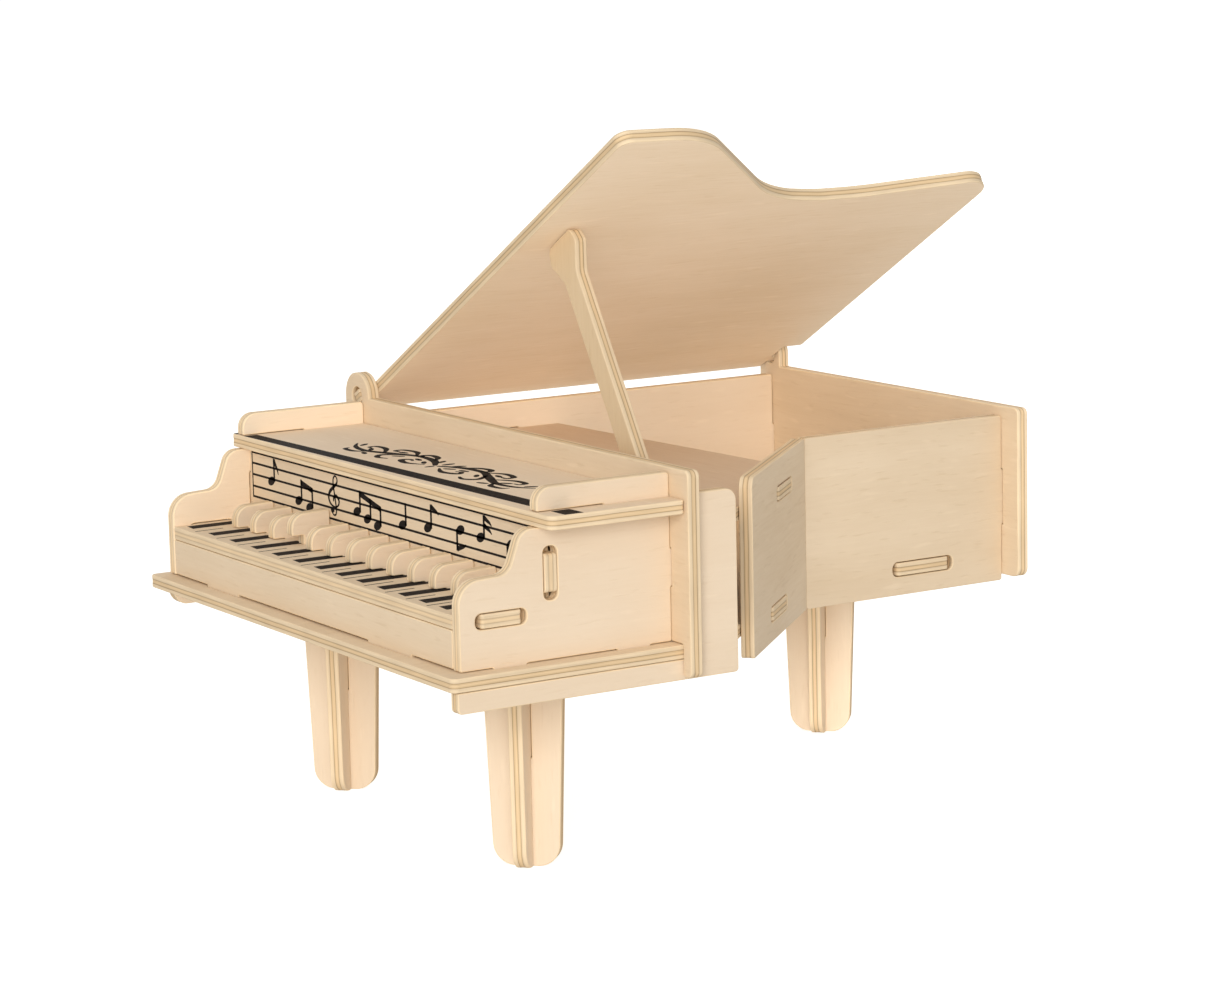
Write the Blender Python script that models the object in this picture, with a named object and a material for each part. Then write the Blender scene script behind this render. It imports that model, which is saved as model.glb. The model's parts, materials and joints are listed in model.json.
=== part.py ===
"""Slot-together wooden model of a grand piano with its lid propped open.

Every piece is one flat 3 mm plywood sheet, built as a filled 2D curve and stood
in its plane.  X runs along the keyboard from bass to treble, Y from the keyboard
to the tail and Z up.  The outlines are in millimetres on a drawing grid whose
zero is the front left corner of the base plate's top face; OFFSET then puts the
origin on the floor under the middle of the model.
"""
import math

import bpy
from mathutils import Vector

# ------------------------------------------------------------ driving dimensions
MM = 0.001
PLY = 3.0            # sheet thickness
FIT = 0.15           # gap left between two pieces that touch
SLOT = PLY + 2 * FIT         # width of a snug slot
LOOSE = 3.5          # height of the loose rounded slots in the outer walls
FREE = 3.6           # width of the slot that the prop swings in

PLATE_W = 145.0      # base plate, across the keyboard
WALL = (0.2, 144.8)  # outer faces of the bass and treble side panels
CHEEK = (2.2, 140.9)         # outer faces of the cheeks
SHELF_X = (-0.8, 147.0)      # ends of the shelf
BULK_Y = 55.5        # front face of the bulkhead behind the keyboard box
TAIL_Y = 176.0       # front face of the tail panel
BOX_Y = 4.2          # front of the cheeks and the key slip
FLOOR_Z = -50.7      # floor under the plate's top face
SKIRT_Z = -7.6       # lower edge of the side panels
WALL_Z = 32.0        # upper edge of the side panels
KEY_Z = 11.6         # top face of the key plate
SHELF_Z = 31.2       # top face of the shelf
SHELF_Y = 22.8       # front edge of the shelf
SOUND_Z = 25.6       # top face of the soundboard
MUSIC_Y = 24.6       # front face of the music panel
BULK_Z = 37.3        # upper edge of the bulkhead
TAIL_Z = 34.2        # upper edge of the tail panel
SIDE_X = 99.0        # outer face of the rear side panel
BEND = ((136.7, 79.2), (99.0, 119.2))    # outer face of the bent side panel
HINGE = (1.9, 37.2)  # X and Z of the lid's hinge line
PIN_HOLE = 4.9       # bore of the hinge ears
LID_OPEN = 30.0      # degrees
LID_TAIL = 181.0     # tail edge of the lid
PROP_LEAN = 31.5     # degrees from upright
PROP_FOOT = (113.9, 24.1)    # X and Z of the prop's foot
PROP_Y = 66.5        # front face of the prop
BLACK_KEYS = 12
BLACK_PITCH = 9.45
BLACK_FIRST = 16.0
RAISED_KEY = 4       # this one is not pushed fully home
LEGS = {"front_left": (30.7, 34.3), "front_right": (114.7, 34.3), "rear": (50.3, 156.9)}
OFFSET = Vector((-72.0, -90.5, -FLOOR_Z))

WOOD = (0.80, 0.62, 0.41)
PALE = (0.84, 0.67, 0.47)


# ------------------------------------------------------------------ scene helpers
def clear_scene():
    for obj in list(bpy.data.objects):
        bpy.data.objects.remove(obj, do_unlink=True)


def collection(name):
    made = bpy.data.collections.new(name)
    bpy.context.scene.collection.children.link(made)
    return made


def wood(name, colour):
    mat = bpy.data.materials.new(name + "_wood")
    mat.use_nodes = True
    bsdf = mat.node_tree.nodes["Principled BSDF"]
    bsdf.inputs["Base Color"].default_value = (*colour, 1.0)
    bsdf.inputs["Roughness"].default_value = 0.62
    bsdf.inputs["Metallic"].default_value = 0.0
    return mat


# ---------------------------------------------------------------- outline helpers
def rounded(corners):
    """Corners (x, y) or (x, y, radius), counterclockwise, as a polygon with arcs."""
    points = []
    for i, corner in enumerate(corners):
        here = Vector(corner[:2])
        radius = corner[2] if len(corner) > 2 else 0.0
        if not radius:
            points.append(here)
            continue
        back = (Vector(corners[i - 1][:2]) - here).normalized()
        ahead = (Vector(corners[(i + 1) % len(corners)][:2]) - here).normalized()
        half = back.angle(ahead) / 2
        reach = radius / math.tan(half)
        centre = here + (back + ahead).normalized() * (radius / math.sin(half))
        start = here + back * reach - centre
        turn = math.pi - 2 * half
        if back.x * ahead.y - back.y * ahead.x > 0:
            turn = -turn
        steps = max(2, round(abs(math.degrees(turn)) / (12 if radius > 12 else 20)))
        for k in range(steps + 1):
            a = turn * k / steps
            points.append(centre + Vector((
                start.x * math.cos(a) - start.y * math.sin(a),
                start.x * math.sin(a) + start.y * math.cos(a))))
    return points


def slot(x, y, width, height):
    """A slot centred on (x, y): snug ones are nearly square, loose ones have round ends."""
    w, h = width / 2, height / 2
    r = 0.25 if min(width, height) <= SLOT else min(w, h) * 0.85
    return rounded([(x - w, y - h, r), (x + w, y - h, r), (x + w, y + h, r), (x - w, y + h, r)])


def circle(x, y, diameter, count=20):
    return [Vector((x + diameter / 2 * math.cos(2 * math.pi * k / count),
                    y + diameter / 2 * math.sin(2 * math.pi * k / count)))
            for k in range(count)]


def cross(x, y, reach, width):
    """A diagonal cross, for the two blades of a leg."""
    w, r = width / 2, reach
    plus = [(r, -w), (r, w), (w, w), (w, r), (-w, r), (-w, w),
            (-r, w), (-r, -w), (-w, -w), (-w, -r), (w, -r), (w, -w)]
    c = math.sqrt(0.5)
    return [Vector((x + c * (a - b), y + c * (a + b))) for a, b in plus]


# ------------------------------------------------------------------ sheet builder
PLANES = {"XY": (0, 0, 0), "XZ": (90, 0, 0), "YZ": (90, 0, 90)}


def sheet(name, outline, holes=(), plane="XY", at=(0, 0, 0), turn=None, colour=WOOD):
    """One plywood sheet; `at` is its drawing origin on the middle of its thickness."""
    curve = bpy.data.curves.new(name, "CURVE")
    curve.dimensions = "2D"
    curve.fill_mode = "BOTH"
    curve.extrude = PLY / 2 * MM
    for loop in (outline, *holes):
        spline = curve.splines.new("POLY")
        spline.points.add(len(loop) - 1)
        for point, xy in zip(spline.points, loop):
            point.co = (xy[0] * MM, xy[1] * MM, 0, 1)
        spline.use_cyclic_u = True
    curve.materials.append(wood(name, colour))
    obj = bpy.data.objects.new(name, curve)
    obj.location = (Vector(at) + OFFSET) * MM
    obj.rotation_euler = [math.radians(a) for a in (turn or PLANES[plane])]
    PARTS.objects.link(obj)
    return obj


# --------------------------------------------------- the bent side's working line
BEND_START = Vector(BEND[0])
BEND_DIR = (Vector(BEND[1]) - BEND_START).normalized()
BEND_OUT = Vector((BEND_DIR.y, -BEND_DIR.x))
BEND_LEN = (Vector(BEND[1]) - BEND_START).length
BEND_TABS = {"soundboard": (33.0, 14.0), "base_plate": (25.7, 15.0)}


def on_bend(along, out):
    return tuple(BEND_START + BEND_DIR * along + BEND_OUT * out)


def bent_edge(which, last_y=None, last_x=None):
    """The edge of a horizontal board along the bent side's inner face, with a tab."""
    inner = -PLY - FIT
    x_in = WALL[1] - PLY - FIT
    first = on_bend(0, inner)
    first_s = (x_in - first[0]) / BEND_DIR.x
    centre, width = BEND_TABS[which]
    a, b = centre - width / 2, centre + width / 2
    if last_y is not None:
        end = (last_y - first[1]) / BEND_DIR.y
    else:
        end = (last_x - first[0]) / BEND_DIR.x
    return [on_bend(first_s, inner), on_bend(a, inner), (*on_bend(a, 0.2), 1.0),
            (*on_bend(b, 0.2), 1.0), on_bend(b, inner), on_bend(end, inner)]


# ------------------------------------------------------------------ lower structure
SLIP_TABS = ((30.5, 16.0), (110.5, 19.0))        # centre X and width
MUSIC_TABS = ((50.0, 14.0), (95.0, 14.0))
BULK_TABS = ((50.0, 16.0), (92.0, 16.0))
CHEEK_TABS = ((16.0, 8.0), (46.0, 8.0))          # centre Y and width
TAIL_TABS = ((22.0, 15.0), (72.0, 15.0))
BASS_TAB = (103.0, 15.0)
SIDE_TAB = (152.5, 15.0)


def base_plate():
    right = WALL[1] - PLY - FIT
    left = WALL[0] + PLY + FIT
    inner = SIDE_X - PLY - FIT
    back = TAIL_Y - FIT
    outline = [(0, 0, 1.5), (PLATE_W, 0, 1.5), (PLATE_W, BULK_Y + PLY + FIT),
               (right, BULK_Y + PLY + FIT), *bent_edge("base_plate", last_x=inner)]
    y, w = SIDE_TAB
    outline += [(inner, y - w / 2), (SIDE_X + 0.2, y - w / 2, 1), (SIDE_X + 0.2, y + w / 2, 1),
                (inner, y + w / 2), (inner, back)]
    for x, w in reversed(TAIL_TABS):
        outline += [(x + w / 2, back), (x + w / 2, TAIL_Y + PLY), (x - w / 2, TAIL_Y + PLY),
                    (x - w / 2, back)]
    outline += [(left, back)]
    y, w = BASS_TAB
    outline += [(left, y + w / 2), (WALL[0], y + w / 2), (WALL[0], y - w / 2), (left, y - w / 2),
                (left, BULK_Y + PLY + FIT), (0, BULK_Y + PLY + FIT)]
    holes = [slot(x, BOX_Y + PLY / 2, w + 2 * FIT, SLOT) for x, w in SLIP_TABS]
    holes += [slot(x, MUSIC_Y + PLY / 2, w + 2 * FIT, SLOT) for x, w in MUSIC_TABS]
    holes += [slot(x, BULK_Y + PLY / 2, w + 2 * FIT, SLOT) for x, w in BULK_TABS]
    for x in (CHEEK[0] + PLY / 2, CHEEK[1] - PLY / 2):
        holes += [slot(x, y, SLOT, w + 2 * FIT) for y, w in CHEEK_TABS]
    holes += [cross(x, y, LEG_TAB / 2 + FIT, SLOT) for x, y in LEGS.values()]
    sheet("base_plate", rounded(outline), holes, "XY", (0, 0, -PLY / 2))


def side_panel(name, x_mid, front, back, slots, toe, tab=None):
    """A side wall: full height behind the bulkhead, a low rail under the plate."""
    step = BULK_Y + PLY + FIT
    outline = [(front, SKIRT_Z, toe), (back, SKIRT_Z, 0.8)]
    if tab:
        lo, hi = tab
        outline += [(back, lo), (TAIL_Y + PLY, lo), (TAIL_Y + PLY, hi), (back, hi)]
        outline += [(back, WALL_Z, 0.6)]
    else:
        outline += [(back, WALL_Z, 2.6)]
    outline += [(step, WALL_Z, 1.0), (step, -PLY - FIT), (front, -PLY - FIT)]
    sheet(name, rounded(outline), slots, "YZ", (x_mid, 0, 0), colour=PALE)


PANEL_TAB = (6.0, 19.0)      # Z range of the tabs that lock the walls to the tail
SOUND_BASS_TAB = (92.0, 15.0)


def side_panels():
    side_panel("left_side_panel", WALL[0] + PLY / 2, 4.5, TAIL_Y - FIT,
               [slot(BASS_TAB[0], -PLY / 2, BASS_TAB[1] + 2.4, LOOSE),
                slot(SOUND_BASS_TAB[0], SOUND_Z - PLY / 2, SOUND_BASS_TAB[1] + 2 * FIT, SLOT)],
               3.6, PANEL_TAB)
    side_panel("right_side_panel", WALL[1] - PLY / 2, 1.3, 69.7, [], 1.0)


def bent_side_panel():
    end = BEND_LEN - FIT / 2
    outline = rounded([(0, SKIRT_Z, 0.8), (end, SKIRT_Z, 0.6),
                       (end, WALL_Z, 0.6), (0, WALL_Z, 2.6)])
    s_centre, s_width = BEND_TABS["soundboard"]
    p_centre, p_width = BEND_TABS["base_plate"]
    holes = [slot(s_centre, SOUND_Z - PLY / 2, s_width + 2.4, LOOSE),
             slot(p_centre, -PLY / 2, p_width + 2.4, LOOSE)]
    x, y = on_bend(0, -PLY / 2)
    angle = math.degrees(math.atan2(BEND_DIR.y, BEND_DIR.x))
    sheet("bent_side_panel", outline, holes, at=(x, y, 0), turn=(90, 0, angle))


def rear_side_panel():
    start, back = BEND[1][1] + FIT / 2, TAIL_Y - FIT
    lo, hi = PANEL_TAB
    outline = rounded([(start, SKIRT_Z, 0.6), (back, SKIRT_Z, 0.6), (back, lo),
                       (TAIL_Y + PLY, lo), (TAIL_Y + PLY, hi), (back, hi),
                       (back, WALL_Z, 0.6), (start, WALL_Z, 0.6)])
    sheet("rear_side_panel", outline,
          [slot(SIDE_TAB[0], -PLY / 2, SIDE_TAB[1] + 2.4, LOOSE)],
          "YZ", (SIDE_X - PLY / 2, 0, 0), colour=PALE)


def eared(left, right, bottom_corners, top, radius):
    """A cross panel whose upper left corner rises into a round hinge ear."""
    x, z = HINGE
    return rounded([*bottom_corners, (right, top, 1.5), (x + radius, top),
                    (x + radius, z + radius, radius * 0.98),
                    (x - radius, z + radius, radius * 0.98)])


SOUND_TABS = ((31.0, 12.0), (114.0, 12.0))
CHEEK_BACK_TAB = (12.0, 20.0)


def front_bulkhead():
    left, right = HINGE[0] - 5.9, PLATE_W + 3.0
    foot = -6.9
    corners = [(left, foot, 1.4), (-FIT, foot, 0.8), (-FIT, FIT)]
    for x, w in BULK_TABS:
        corners += [(x - w / 2, FIT), (x - w / 2, -PLY), (x + w / 2, -PLY), (x + w / 2, FIT)]
    corners += [(PLATE_W + FIT, FIT), (PLATE_W + FIT, foot, 0.8), (right, foot, 1.4)]
    holes = [circle(*HINGE, PIN_HOLE)]
    holes += [slot(x, SOUND_Z - PLY / 2, w + 2 * FIT, SLOT) for x, w in SOUND_TABS]
    lo, hi = CHEEK_BACK_TAB
    for x in (CHEEK[0] + PLY / 2, CHEEK[1] - PLY / 2):
        holes.append(slot(x, (lo + hi) / 2, SLOT, hi - lo + 2 * FIT))
    sheet("front_bulkhead", eared(left, right, corners, BULK_Z, 5.9), holes,
          "XZ", (0, BULK_Y + PLY / 2, 0))


def tail_panel():
    left, right, foot = HINGE[0] - 4.4, 105.0, -6.2
    lo, hi = PANEL_TAB
    holes = [circle(*HINGE, PIN_HOLE)]
    holes += [slot(x, -PLY / 2, w + 2 * FIT, SLOT) for x, w in TAIL_TABS]
    for x in (WALL[0] + PLY / 2, SIDE_X - PLY / 2):
        holes.append(slot(x, (lo + hi) / 2, SLOT, hi - lo + 2 * FIT))
    outline = eared(left, right, [(left, foot, 2.2), (right, foot, 2.2)], TAIL_Z, 4.4)
    sheet("tail_panel", outline, holes, "XZ", (0, TAIL_Y + PLY / 2, 0))


def soundboard():
    left, right = WALL[0] + PLY + FIT, WALL[1] - PLY - FIT
    front = BULK_Y + PLY + FIT
    outline = [(left, front)]
    for x, w in SOUND_TABS:
        outline += [(x - w / 2, front), (x - w / 2, BULK_Y), (x + w / 2, BULK_Y),
                    (x + w / 2, front)]
    outline += [(right, front), *bent_edge("soundboard", last_y=117.0), (left, 111.0)]
    y, w = SOUND_BASS_TAB
    outline += [(left, y + w / 2), (WALL[0], y + w / 2), (WALL[0], y - w / 2), (left, y - w / 2)]
    x, z = PROP_FOOT
    prop_slot = slot(x - 4.5, PROP_Y + PLY / 2, 18.0, FREE)
    sheet("soundboard", rounded(outline), [prop_slot], "XY", (0, 0, SOUND_Z - PLY / 2))


# -------------------------------------------------------------------- keyboard box
def key_slip():
    left, right = CHEEK[0] + PLY + FIT, CHEEK[1] - PLY - FIT
    foot = 2.4 * FIT
    outline = [(left, foot)]
    for x, w in SLIP_TABS:
        outline += [(x - w / 2, foot), (x - w / 2, -PLY), (x + w / 2, -PLY), (x + w / 2, foot)]
    top = KEY_Z - PLY - FIT
    outline += [(right, foot), (right, top), (left, top)]
    sheet("key_slip", rounded(outline), (), "XZ", (0, BOX_Y + PLY / 2, 0))


KEY_TAB = (14.1, 9.6)            # centre Y and width of the key plate's end tabs
MUSIC_TAB = (18.3, 8.2)          # centre Z and height of the music panel's end tabs
RIB_Y = (14.8, MUSIC_Y - FIT)    # front and back of a black key
RIB_TAB = (20.0, 4.4)


def black_key_x(i):
    return BLACK_FIRST + BLACK_PITCH * (i - 1)


def end_tabs(lo, hi, tab, left, right):
    """A rectangle with one tab in the middle of each end."""
    mid, size = tab
    return rounded([(left, lo), (right, lo), (right, mid - size / 2),
                    (CHEEK[1] + 0.2, mid - size / 2, 0.8), (CHEEK[1] + 0.2, mid + size / 2, 0.8),
                    (right, mid + size / 2), (right, hi), (left, hi), (left, mid + size / 2),
                    (CHEEK[0] - 0.2, mid + size / 2, 0.8), (CHEEK[0] - 0.2, mid - size / 2, 0.8),
                    (left, mid - size / 2)])


def key_plate():
    left, right = CHEEK[0] + PLY + FIT, CHEEK[1] - PLY - FIT
    outline = end_tabs(BOX_Y, MUSIC_Y - FIT, KEY_TAB, left, right)
    holes = [slot(black_key_x(i), RIB_TAB[0], SLOT, RIB_TAB[1] + 2 * FIT)
             for i in range(1, BLACK_KEYS + 1)]
    sheet("key_plate", outline, holes, "XY", (0, 0, KEY_Z - PLY / 2))


def music_panel():
    left, right = CHEEK[0] + PLY + FIT, CHEEK[1] - PLY - FIT
    top = SHELF_Z - PLY - FIT
    mid, size = MUSIC_TAB
    outline = [(left, FIT)]
    for x, w in MUSIC_TABS:
        outline += [(x - w / 2, FIT), (x - w / 2, -PLY), (x + w / 2, -PLY), (x + w / 2, FIT)]
    outline += [(right, FIT), (right, mid - size / 2), (CHEEK[1] + 0.2, mid - size / 2, 0.8),
                (CHEEK[1] + 0.2, mid + size / 2, 0.8), (right, mid + size / 2), (right, top),
                (left, top), (left, mid + size / 2), (CHEEK[0] - 0.2, mid + size / 2, 0.8),
                (CHEEK[0] - 0.2, mid - size / 2, 0.8), (left, mid - size / 2)]
    sheet("music_panel", rounded(outline), (), "XZ", (0, MUSIC_Y + PLY / 2, 0))


def black_keys():
    front, back = RIB_Y
    mid, size = RIB_TAB
    foot, top = KEY_Z + FIT, KEY_Z + 5.0
    outline = rounded([(front, foot), (mid - size / 2, foot), (mid - size / 2, foot - PLY),
                       (mid + size / 2, foot - PLY), (mid + size / 2, foot), (back, foot),
                       (back, top + 0.4, 0.5), (front, top, 3.4)])
    for i in range(1, BLACK_KEYS + 1):
        lift = 2.0 if i == RAISED_KEY else 0.0
        sheet(f"black_key_{i:02d}", outline, (), "YZ", (black_key_x(i), 0, lift), colour=PALE)


SHELF_LAP = 39.2     # where the shelf and the cheeks swap in their half-lap


def cheek(name, x_mid, music_slot, key_slot):
    back = BULK_Y - FIT / 2
    lo, hi = CHEEK_BACK_TAB
    outline = [(BOX_Y, FIT)]
    for y, w in CHEEK_TABS:
        outline += [(y - w / 2, FIT), (y - w / 2, -PLY), (y + w / 2, -PLY), (y + w / 2, FIT)]
    outline += [(back, FIT), (back, lo), (BULK_Y + PLY, lo), (BULK_Y + PLY, hi), (back, hi),
                (back, 36.3, 0.8), (SHELF_Y + 0.4, 36.3, 3.4), (SHELF_Y + 0.4, SHELF_Z + FIT),
                (SHELF_LAP + FIT, SHELF_Z + FIT), (SHELF_LAP + FIT, SHELF_Z - PLY - FIT),
                (19.4, SHELF_Z - PLY - FIT, 3.6), (16.2, 19.2, 3.6), (BOX_Y, 18.6, 5.2)]
    holes = [slot(MUSIC_Y + PLY / 2, MUSIC_TAB[0], SLOT + 0.1, music_slot),
             slot(KEY_TAB[0], KEY_Z - PLY / 2, key_slot, SLOT + 0.1)]
    sheet(name, rounded(outline), holes, "YZ", (x_mid, 0, 0), colour=PALE)


def top_shelf():
    back = BULK_Y - FIT
    lap = SHELF_LAP - FIT
    left, right = SHELF_X
    a, b = (x + side * PLY / 2 for x, side in zip(CHEEK, (1, -1)))
    outline = [(left, SHELF_Y, 1.8), (right, SHELF_Y, 1.8), (right, back, 0.8)]
    outline += [(b + SLOT / 2, back), (b + SLOT / 2, lap), (b - SLOT / 2, lap),
                (b - SLOT / 2, back)]
    outline += [(a + SLOT / 2, back), (a + SLOT / 2, lap), (a - SLOT / 2, lap),
                (a - SLOT / 2, back), (left, back, 0.8)]
    sheet("top_shelf", rounded(outline), (), "XY", (0, 0, SHELF_Z - PLY / 2))


# --------------------------------------------------------------------- lid and prop
PIN = 2.9            # square hinge pins cut with the lid


def lid():
    """Grand-piano outline in the lid's own plane, zero on the hinge line."""
    p = PIN / 2
    heel = -4.6
    front, notch = BULK_Y + PLY + FIT, TAIL_Y - 0.6
    outline = rounded([
        (heel, front, 0.6), (-p, front), (-p, BULK_Y + 0.2), (p, BULK_Y + 0.2), (p, front),
        (136.0, front, 3.0), (135.4, 81.2, 24.0), (98.9, 119.3, 34.0), (98.0, 142.0, 80.0),
        (102.8, LID_TAIL, 7.5), (7.6, LID_TAIL, 0.8), (7.6, notch, 0.6), (p, notch),
        (p, TAIL_Y + PLY + 0.4), (-p, TAIL_Y + PLY + 0.4), (-p, notch), (heel, notch, 0.6)])
    sheet("lid", outline, (), at=(HINGE[0], 0, HINGE[1]), turn=(0, -LID_OPEN, 0))


def prop_length():
    """Distance from the prop's foot to the underside of the open lid."""
    lean, rise = math.radians(PROP_LEAN), math.radians(LID_OPEN)
    under = HINGE[1] - PLY / 2 / math.cos(rise) + (PROP_FOOT[0] - HINGE[0]) * math.tan(rise)
    return (under - PROP_FOOT[1]) / (math.cos(lean) + math.sin(lean) * math.tan(rise))


def lid_prop():
    """A stick with a rounded foot and a flared head that bears on the lid."""
    top = prop_length() - 0.45
    outline = rounded([(-3.0, -3.0, 2.9), (3.0, -3.0, 2.9), (3.0, top - 9.5, 4.0),
                       (6.6, top - 3.4, 1.8), (5.6, top, 1.6), (-5.0, top, 1.6),
                       (-6.2, top - 3.4, 1.8), (-3.0, top - 9.5, 4.0)])
    x, z = PROP_FOOT
    sheet("lid_prop", outline, (), at=(x, PROP_Y + PLY / 2, z), turn=(90, -PROP_LEAN, 0))


# --------------------------------------------------------------------------- legs
LEG_TOP, LEG_FOOT = 9.1, 7.3     # half widths at the plate and at the floor
LEG_TAB = 12.0
LEG_LAP = -26.7


def leg_blade(name, centre, angle, slot_at_top):
    t = LEG_TAB / 2
    s = SLOT / 2
    under = -PLY - FIT
    top = [(t, under), (t, 0)]
    if slot_at_top:
        top += [(s, 0), (s, LEG_LAP - FIT), (-s, LEG_LAP - FIT), (-s, 0)]
    top += [(-t, 0), (-t, under)]
    foot = [(-LEG_FOOT, FLOOR_Z, 5.0)]
    if not slot_at_top:
        foot += [(-s, FLOOR_Z), (-s, LEG_LAP + FIT), (s, LEG_LAP + FIT), (s, FLOOR_Z)]
    foot += [(LEG_FOOT, FLOOR_Z, 5.0)]
    outline = rounded([*foot, (LEG_TOP, under, 0.6), *top, (-LEG_TOP, under, 0.6)])
    sheet(name, outline, (), at=(*centre, 0), turn=(90, 0, angle), colour=PALE)


def legs():
    for place, centre in LEGS.items():
        leg_blade(f"leg_{place}_a", centre, 45, True)
        leg_blade(f"leg_{place}_b", centre, -45, False)


clear_scene()
PARTS = collection("toy_piano")
base_plate()
side_panels()
bent_side_panel()
rear_side_panel()
front_bulkhead()
tail_panel()
soundboard()
key_slip()
key_plate()
music_panel()
black_keys()
cheek("left_cheek", CHEEK[0] + PLY / 2, 9.8, 11.6)
cheek("right_cheek", CHEEK[1] - PLY / 2, 11.4, 12.2)
top_shelf()
lid()
lid_prop()
legs()
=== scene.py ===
"""Looks for the slot-together wooden grand piano.

Every CAD sheet is rebuilt from its own outline with smooth curves, softened edges
and a recessed middle ply, then given procedural plywood: veneer grain on the faces
and ply layers on the edges.  The printed keys, music and ornament are thin ink solids.
"""

import json
import math

import bpy
import numpy as np
from mathutils import Matrix, Vector, geometry


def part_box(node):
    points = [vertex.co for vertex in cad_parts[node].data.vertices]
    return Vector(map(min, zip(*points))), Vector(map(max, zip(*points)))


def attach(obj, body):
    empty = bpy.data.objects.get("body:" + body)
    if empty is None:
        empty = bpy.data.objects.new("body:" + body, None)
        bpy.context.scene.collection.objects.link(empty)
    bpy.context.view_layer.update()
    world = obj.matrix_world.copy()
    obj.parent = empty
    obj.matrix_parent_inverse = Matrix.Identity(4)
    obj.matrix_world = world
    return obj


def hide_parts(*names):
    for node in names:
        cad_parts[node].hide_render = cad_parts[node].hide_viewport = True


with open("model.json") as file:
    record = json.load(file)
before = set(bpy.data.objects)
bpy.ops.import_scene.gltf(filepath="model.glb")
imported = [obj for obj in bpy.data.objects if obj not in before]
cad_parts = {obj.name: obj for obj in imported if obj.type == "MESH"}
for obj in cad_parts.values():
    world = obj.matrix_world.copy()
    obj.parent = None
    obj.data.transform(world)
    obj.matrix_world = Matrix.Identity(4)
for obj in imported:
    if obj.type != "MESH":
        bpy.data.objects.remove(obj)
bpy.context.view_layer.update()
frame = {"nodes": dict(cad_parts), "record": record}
NODES = frame["nodes"]
RECORD = frame["record"]
MM = 0.001               # one millimetre, in metres
PLY = 3.0                # mm, the thickness of every sheet

BODY_OF = {n: body for body, names in RECORD["behaviour"]["bodies"].items() for n in names}

# plate zero: the front left corner of the base plate's top face
PLATE_LOW, PLATE_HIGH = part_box("base_plate")
ZERO = Vector((PLATE_LOW.x, PLATE_LOW.y, PLATE_HIGH.z))

# sheets whose grain is never turned, whatever their proportions
GRAIN_LEVEL = {"lid", "left_cheek", "right_cheek", "rear_side_panel", "right_side_panel"}


# ---------------------------------------------------------------- sheet outlines
TALLER = 1.05            # a sheet this many times longer in v than in u has its grain along v
ON_FACE = 0.9            # of half the thickness: points above this are on the +z face


def sheet_axes(node, along=None):
    """Origin and axes of a flat sheet: x along the grain, z through the thickness."""
    mesh = NODES[node].data
    sums = {}
    for p in mesh.polygons:
        n = p.normal
        sign = next(math.copysign(1, c) for c in (n.z, n.x, n.y) if abs(c) > 0.02)
        key = tuple(round(c * sign, 1) + 0.0 for c in n)
        sums.setdefault(key, [0.0, n.copy()])[0] += p.area
    normal = max(sums.values(), key=lambda s: s[0])[1].normalized()
    if along is None:
        along = Vector((1, 0, 0)) if abs(normal.z) > 0.98 else normal.cross(Vector((0, 0, 1)))
    u = (along - normal * along.dot(normal)).normalized()
    v = normal.cross(u)
    co = np.array([p.co for p in mesh.vertices])
    span = [np.ptp(co @ np.array(a)) for a in (u, v)]
    if span[1] > span[0] * TALLER and node not in GRAIN_LEVEL:
        u, v = v, -u
    mid = [(co @ np.array(a)).max() / 2 + (co @ np.array(a)).min() / 2 for a in (u, v, normal)]
    origin = u * mid[0] + v * mid[1] + normal * mid[2]
    half = np.ptp(co @ np.array(normal)) / 2
    return origin, u, v, normal, half


def outline_loops(node, origin, u, v, normal, half):
    """Closed 2D loops, in mm, of the sheet's +z face: material lies on their left."""
    mesh = NODES[node].data
    index, flat, key_of = {}, [], {}
    for vert in mesh.vertices:
        d = vert.co - origin
        q = (round(d.dot(u) / MM, 3), round(d.dot(v) / MM, 3))
        if d.dot(normal) > half * ON_FACE:
            key_of[vert.index] = index.setdefault(q, len(index))
            if key_of[vert.index] == len(flat):
                flat.append(q)
    edges = set()
    for p in mesh.polygons:
        if p.normal.dot(normal) < 0.99 or any(i not in key_of for i in p.vertices):
            continue
        ids = [key_of[i] for i in p.vertices]
        for a, b in zip(ids, ids[1:] + ids[:1]):
            if (b, a) in edges:
                edges.remove((b, a))
            else:
                edges.add((a, b))
    nxt = dict(edges)
    loops = []
    while nxt:
        loop, here = [], min(nxt)
        while here in nxt:
            loop.append(flat[here])
            here = nxt.pop(here)
        if len(loop) > 2:
            loops.append([Vector(q) for q in loop])
    return loops


def turn_at(a, b, c):
    """Degrees that the path a, b, c turns to the left at b."""
    p, q = b - a, c - b
    return math.degrees(math.atan2(p.x * q.y - p.y * q.x, p.dot(q)))


STRAIGHT_TURN = 0.6      # degrees, a smaller turn than this is no corner at all
CORNER_TURN = 29.0       # degrees, a sharper turn than this is a corner, not part of an arc
ARC_STEP = 6.0           # degrees between the points of a resampled arc
LONGER = 1.7             # a side this many times longer than its neighbour is a straight run
ROOMY = 1.1              # mm, sides shorter than this get a smaller fillet
SHORT, TINY = 0.35, 0.15     # mm, sides below these get one point more, or none
NEAREST = 0.02           # mm, the closest that two points of an outline may be

# the sheets' edges, in mm
FILLET, BEVEL = 0.38, 0.27
PRESS = 0.06             # how far a pressed edge stands out towards its neighbour
PRESSED_BEVEL = 0.2      # the share of the bevel that is left on a pressed edge
RECESS = 0.05            # how far the middle ply sits back
RECESS_LIP, RECESS_FLOOR = 0.56, 0.48    # half heights between which the step back is made
SMOOTH = 38.0            # degrees, a sharper edge than this is shaded flat


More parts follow.
